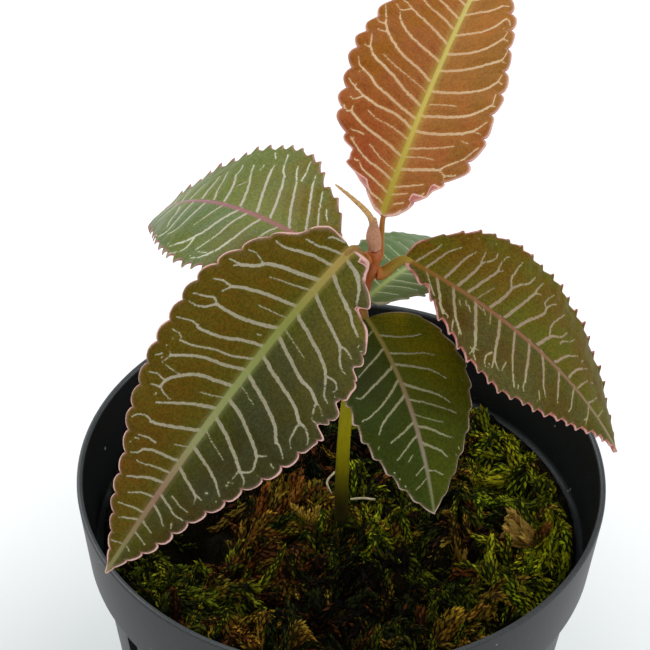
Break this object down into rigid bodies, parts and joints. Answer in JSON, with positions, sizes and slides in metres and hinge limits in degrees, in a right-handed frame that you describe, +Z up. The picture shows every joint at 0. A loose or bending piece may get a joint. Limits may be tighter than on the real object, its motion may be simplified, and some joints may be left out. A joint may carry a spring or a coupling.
{
  "type": "potted ardisia plant",
  "caption": "Young foliage plant with scalloped, pale-veined olive and bronze leaves on one upright stem, rooted in a mossy bed in a black nursery pot.",
  "frame": {"origin": "centre of the pot's underside, on the surface that it stands on", "axes": "+Z up along the pot's axis; -Y is the plant's front, the side that the large hanging leaf faces"},
  "size_m": [0.0751, 0.075, 0.1324],
  "materials": {
    "pot_plastic": "satin black moulded plastic",
    "potting_mix": "damp bark and fibre",
    "moss": "living and dried moss",
    "stem_skin": "green bark, slightly waxy",
    "sheath_skin": "scurfy young tissue",
    "leaf_bronze": "thin satin leaf",
    "leaf_olive": "satin leaf",
    "leaf_grey_green": "satin leaf",
    "leaf_olive_bronze": "satin leaf",
    "leaf_dark_green": "satin leaf",
    "leaf_fresh_green": "satin leaf"
  },
  "bodies": {
    "root": {"pot": "pot_plastic", "soil": "potting_mix", "moss": "moss", "stem": "stem_skin", "shoot_tip": "sheath_skin", "leaf_top_young": "leaf_bronze", "leaf_front_left": "leaf_olive", "leaf_back_left": "leaf_grey_green", "leaf_right": "leaf_olive_bronze", "leaf_front_small": "leaf_dark_green", "leaf_back": "leaf_fresh_green"}
  },
  "joints": []
}
